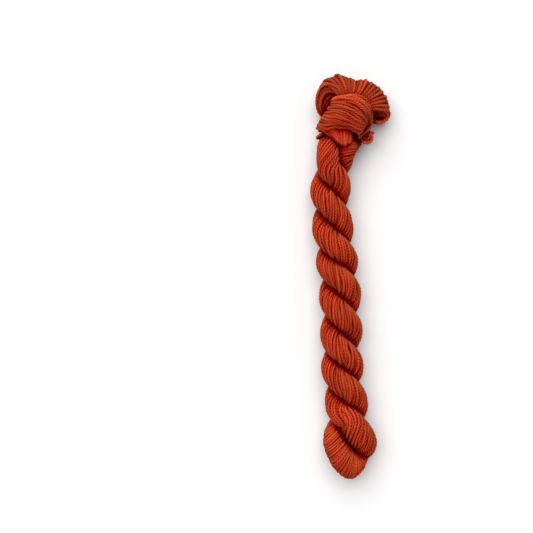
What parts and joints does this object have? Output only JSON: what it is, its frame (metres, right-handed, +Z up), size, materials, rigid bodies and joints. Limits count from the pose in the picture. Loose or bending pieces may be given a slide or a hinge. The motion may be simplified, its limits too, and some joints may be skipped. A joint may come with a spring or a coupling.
{
  "type": "hank of yarn",
  "caption": "Twisted hank of rust-orange plied yarn, folded into a two-cord rope with one end tucked through a collar and opened as a fan of loops.",
  "frame": {"origin": "on the surface that the hank lies on, under the middle of its bounding box", "axes": "+Z up from the surface, +Y along the hank towards the fan of loops, +X to its right seen from above"},
  "size_m": [0.0484, 0.2429, 0.0285],
  "materials": {
    "yarn": "plied wool, soft and matt, darker and redder between the strands"
  },
  "bodies": {
    "root": {"hank": "yarn", "tie": "yarn"}
  },
  "joints": []
}
